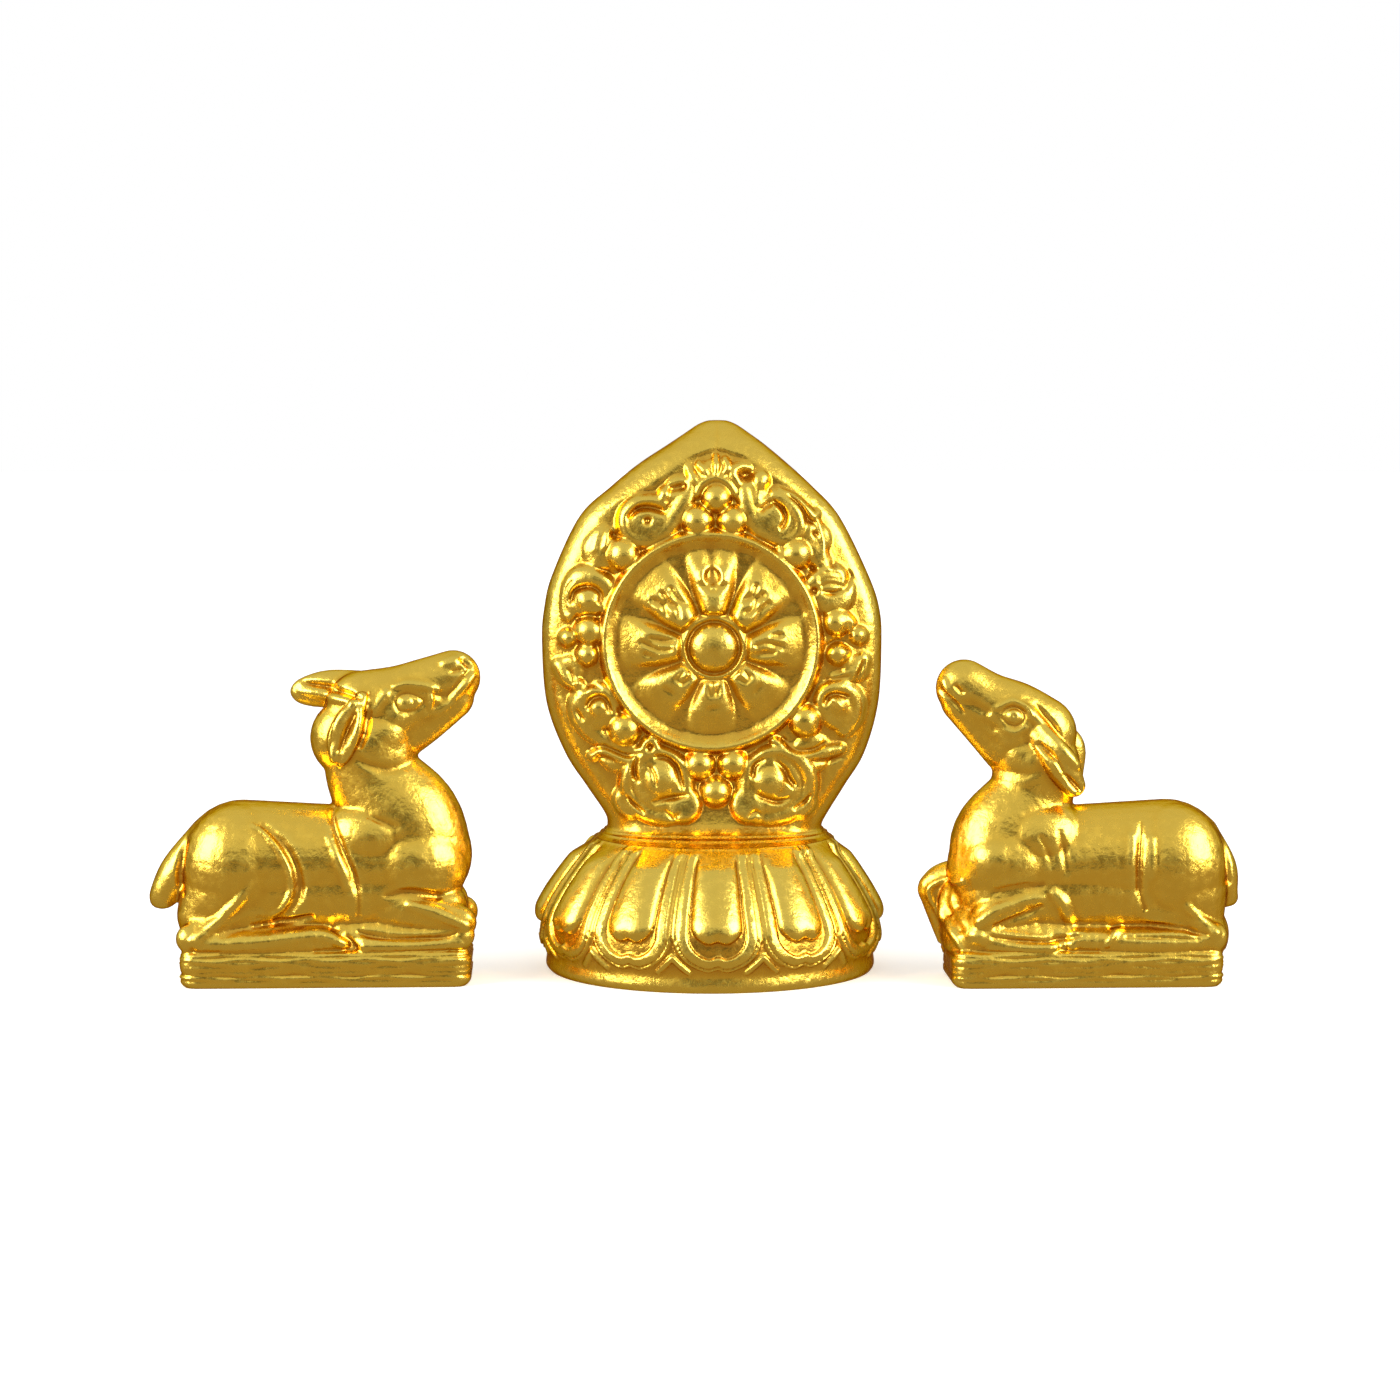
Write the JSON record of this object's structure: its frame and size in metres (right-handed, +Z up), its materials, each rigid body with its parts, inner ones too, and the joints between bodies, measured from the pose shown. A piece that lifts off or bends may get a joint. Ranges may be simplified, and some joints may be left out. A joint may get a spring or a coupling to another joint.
{
  "type": "dharma wheel with deer",
  "caption": "Gilt altar set: an eight-spoked wheel on an almond-shaped plaque with a lotus base, flanked by recumbent deer on low plinths that look up at it.",
  "frame": {"origin": "centre of the whole set's footprint, on the surface that it stands on", "axes": "+Z up, +X to the viewer's right along the row of castings, the carved fronts face -Y"},
  "size_m": [0.142, 0.0472, 0.0729],
  "materials": {
    "gold_leaf": "gold leaf over a cast body, satin gloss with fine crinkles and burnished high spots"
  },
  "bodies": {
    "root": {"wheel_on_lotus_base": "gold_leaf", "deer_left": "gold_leaf", "deer_right": "gold_leaf"}
  },
  "joints": []
}
